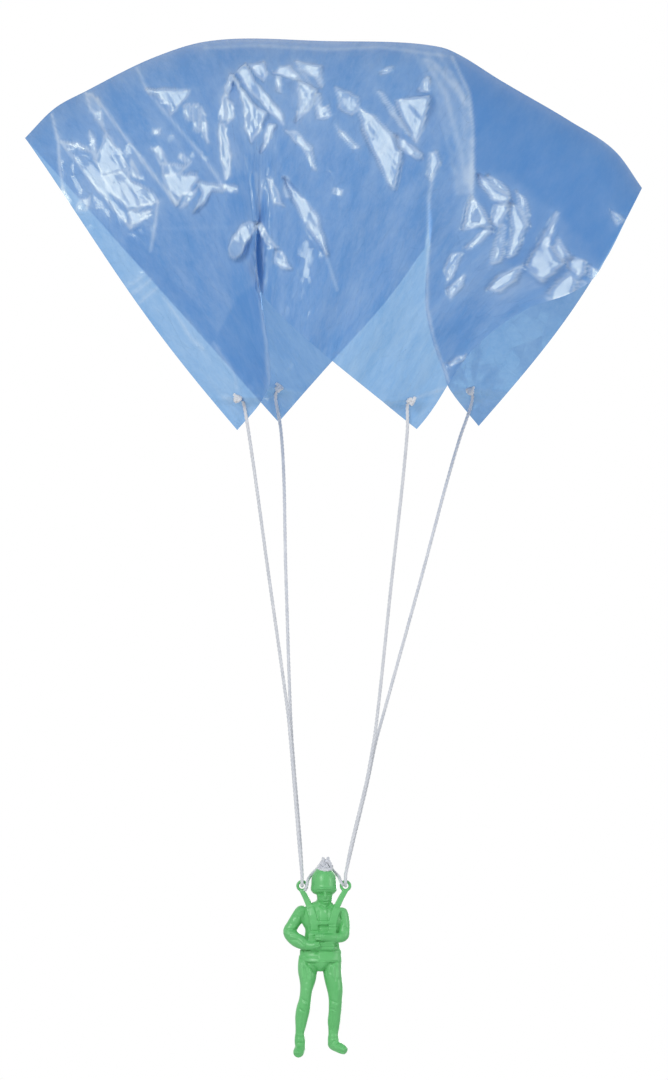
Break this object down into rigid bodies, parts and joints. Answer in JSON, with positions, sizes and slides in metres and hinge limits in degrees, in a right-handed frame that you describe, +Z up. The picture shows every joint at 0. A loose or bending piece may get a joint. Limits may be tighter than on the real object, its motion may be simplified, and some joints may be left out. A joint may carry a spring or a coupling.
{
  "type": "toy parachute",
  "caption": "Toy parachute: a folded square of thin film on knotted lines that carry a moulded paratrooper by its shoulder rings.",
  "frame": {"origin": "crown of the canopy, the top of its ridge, straight above the middle of the hanging weight", "axes": "+Z up, -Y towards the front of the paratrooper, +X to the right as one looks at its face"},
  "size_m": [0.1609, 0.0693, 0.265],
  "materials": {
    "blue_film": "thin translucent blown film, glossy, creased",
    "string": "soft twisted string, matt",
    "green_moulding": "injection moulded, soft gloss"
  },
  "bodies": {
    "canopy": {"canopy_film": "blue_film"},
    "rigging": {"knot_front_left": "string", "knot_front_right": "string", "knot_back_left": "string", "knot_back_right": "string", "line_front_left": "string", "line_front_right": "string", "line_back_left": "string", "line_back_right": "string"},
    "hitches": {"ring_hitch_left": "string", "ring_hitch_right": "string"},
    "figure": {"paratrooper": "green_moulding", "head_knot": "string", "neck_strand_left": "string", "neck_strand_right": "string"}
  },
  "joints": [
    {"name": "canopy_swing", "type": "hinge", "parent": "canopy", "child": "rigging", "pos_m": [0, 0, 0], "axis": [0, 1, 0], "range_deg": [-20, 20], "deforming": ["canopy_film"]},
    {"name": "figure_turn", "type": "hinge", "parent": "rigging", "child": "hitches", "pos_m": [0.00031, 0, -0.2185], "axis": [0, 0, 1], "range_deg": [-90, 90], "deforming": ["line_front_left", "line_front_right", "line_back_left", "line_back_right"]},
    {"name": "figure_rock", "type": "hinge", "parent": "hitches", "child": "figure", "pos_m": [0.00031, 0, -0.2185], "axis": [1, 0, 0], "range_deg": [-50, 50]}
  ]
}
